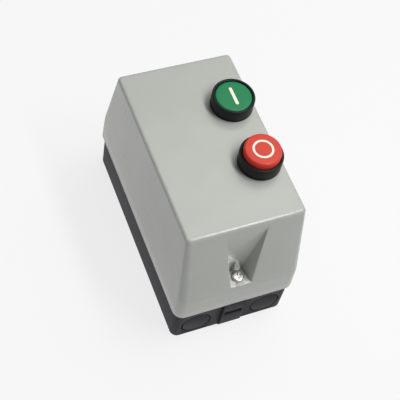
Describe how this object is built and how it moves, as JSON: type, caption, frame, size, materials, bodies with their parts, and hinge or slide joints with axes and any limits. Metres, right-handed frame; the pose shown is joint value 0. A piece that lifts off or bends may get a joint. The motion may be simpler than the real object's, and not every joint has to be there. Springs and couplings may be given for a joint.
{
  "type": "enclosed direct-on-line motor starter",
  "caption": "Enclosed motor starter: grey cover with green start and red stop buttons on a dark base, holding a contactor and a thermal overload relay.",
  "frame": {"origin": "middle of the back mounting face, which is also the lowest plane when the starter lies on its back", "axes": "+X to the right, +Y up towards the start button, +Z out of the front"},
  "size_m": [0.0874, 0.1612, 0.1254],
  "materials": {
    "cover_grey": "light warm grey moulded ABS with a fine satin texture",
    "base_anthracite": "anthracite moulded plastic, fine matt texture",
    "button_black": "black moulded plastic, satin",
    "start_green": "green moulded plastic, semi-gloss",
    "stop_red": "red moulded plastic, semi-gloss",
    "symbol_ivory": "ivory plastic moulded in with the cap",
    "seal_rubber": "black sealing rubber",
    "zinc_steel": "zinc plated steel",
    "spring_steel": "drawn spring wire",
    "core_steel": "stacked steel laminations with ground pole faces",
    "contact_copper": "copper strip with silver contact faces",
    "brass": "bare brass",
    "coil_tape": "enamelled copper winding under clear tape",
    "bobbin_nylon": "natural nylon",
    "housing_dark": "dark grey glass-filled moulding",
    "housing_light": "light grey glass-filled moulding",
    "clear_window": "clear polycarbonate",
    "reset_blue": "blue moulded plastic",
    "wire_insulation": "red PVC wire insulation"
  },
  "bodies": {
    "starter_base": {"base_tub": "base_anthracite", "block_housing": "housing_dark", "block_spring": "spring_steel", "carrier_spring": "spring_steel", "coil_bobbin": "bobbin_nylon", "coil_control_wire": "wire_insulation", "coil_winding": "coil_tape", "contactor_lower_housing": "housing_dark", "contactor_upper_housing": "housing_dark", "earth_plate": "brass", "earth_screw": "zinc_steel", "fixed_core": "core_steel", "heater_strip_1": "brass", "heater_strip_2": "brass", "heater_strip_3": "brass", "line_contact_1": "contact_copper", "line_contact_2": "contact_copper", "line_contact_3": "contact_copper", "line_screw_1": "zinc_steel", "line_screw_2": "zinc_steel", "line_screw_3": "zinc_steel", "load_contact_1": "contact_copper", "load_contact_2": "contact_copper", "load_contact_3": "contact_copper", "load_screw_1": "zinc_steel", "load_screw_2": "zinc_steel", "load_screw_3": "zinc_steel", "motor_screw_1": "zinc_steel", "motor_screw_2": "zinc_steel", "motor_screw_3": "zinc_steel", "relay_housing": "housing_light", "rim_gasket": "seal_rubber", "stop_control_wire": "wire_insulation"},
    "cover_group": {"cover": "cover_grey", "cover_screw_bottom": "zinc_steel", "cover_screw_top": "zinc_steel", "start_bezel": "button_black", "start_nut": "button_black", "start_spring": "spring_steel", "stop_bezel": "button_black", "stop_nut": "button_black", "stop_spring": "spring_steel"},
    "start_button": {"start_cap": "start_green", "start_symbol": "symbol_ivory", "start_stem": "button_black"},
    "stop_button": {"stop_cap": "stop_red", "stop_symbol": "symbol_ivory", "stop_stem": "button_black"},
    "armature_group": {"armature": "core_steel", "contact_carrier": "housing_light", "contact_bridge_1": "contact_copper", "contact_bridge_2": "contact_copper", "contact_bridge_3": "contact_copper"},
    "start_block_plunger": {"block_plunger": "button_black", "block_bridge": "contact_copper"},
    "relay_stop": {"relay_stop_button": "stop_red"},
    "relay_reset": {"relay_reset_button": "reset_blue"},
    "current_dial": {"relay_dial": "housing_light"},
    "dial_window": {"relay_window": "clear_window"},
    "trip_bar": {"trip_slider": "bobbin_nylon"}
  },
  "joints": [
    {"name": "cover_lift", "type": "slide", "parent": "starter_base", "child": "cover_group", "axis": [0, 0, 1], "range_m": [0, 0.115]},
    {"name": "start_press", "type": "slide", "parent": "cover_group", "child": "start_button", "axis": [0, 0, -1], "range_m": [0, 0.004], "stiffness_N_per_m": 450, "springref_m": -0.002, "deforming": ["start_spring"]},
    {"name": "stop_press", "type": "slide", "parent": "cover_group", "child": "stop_button", "axis": [0, 0, -1], "range_m": [0, 0.004], "stiffness_N_per_m": 450, "springref_m": -0.002, "deforming": ["stop_spring"]},
    {"name": "start_block_press", "type": "slide", "parent": "starter_base", "child": "start_block_plunger", "axis": [0, 0, -1], "range_m": [0, 0.004], "stiffness_N_per_m": 150, "springref_m": -0.002, "deforming": ["block_spring"]},
    {"name": "relay_stop_press", "type": "slide", "parent": "starter_base", "child": "relay_stop", "axis": [0, 0, -1], "range_m": [0, 0.004], "stiffness_N_per_m": 150, "springref_m": -0.002},
    {"name": "armature_travel", "type": "slide", "parent": "starter_base", "child": "armature_group", "axis": [0, 0, -1], "range_m": [0, 0.0055], "stiffness_N_per_m": 300, "springref_m": -0.004, "deforming": ["carrier_spring"]},
    {"name": "relay_reset_press", "type": "slide", "parent": "starter_base", "child": "relay_reset", "axis": [0, 0, -1], "range_m": [0, 0.0025], "stiffness_N_per_m": 200, "springref_m": -0.002},
    {"name": "relay_dial_turn", "type": "hinge", "parent": "starter_base", "child": "current_dial", "pos_m": [-0.0215, -0.0374, 0.08], "axis": [0, 0, 1], "range_deg": [-135, 135]},
    {"name": "relay_window_open", "type": "hinge", "parent": "starter_base", "child": "dial_window", "pos_m": [-0.0215, -0.0279, 0.0815], "axis": [-1, 0, 0], "range_deg": [0, 100]},
    {"name": "trip_bar_move", "type": "slide", "parent": "starter_base", "child": "trip_bar", "axis": [1, 0, 0], "range_m": [0, 0.0025]}
  ],
  "couplings": [
    {"joint": "start_block_press", "follows": "start_press", "ratio": 1},
    {"joint": "relay_stop_press", "follows": "stop_press", "ratio": 1}
  ]
}
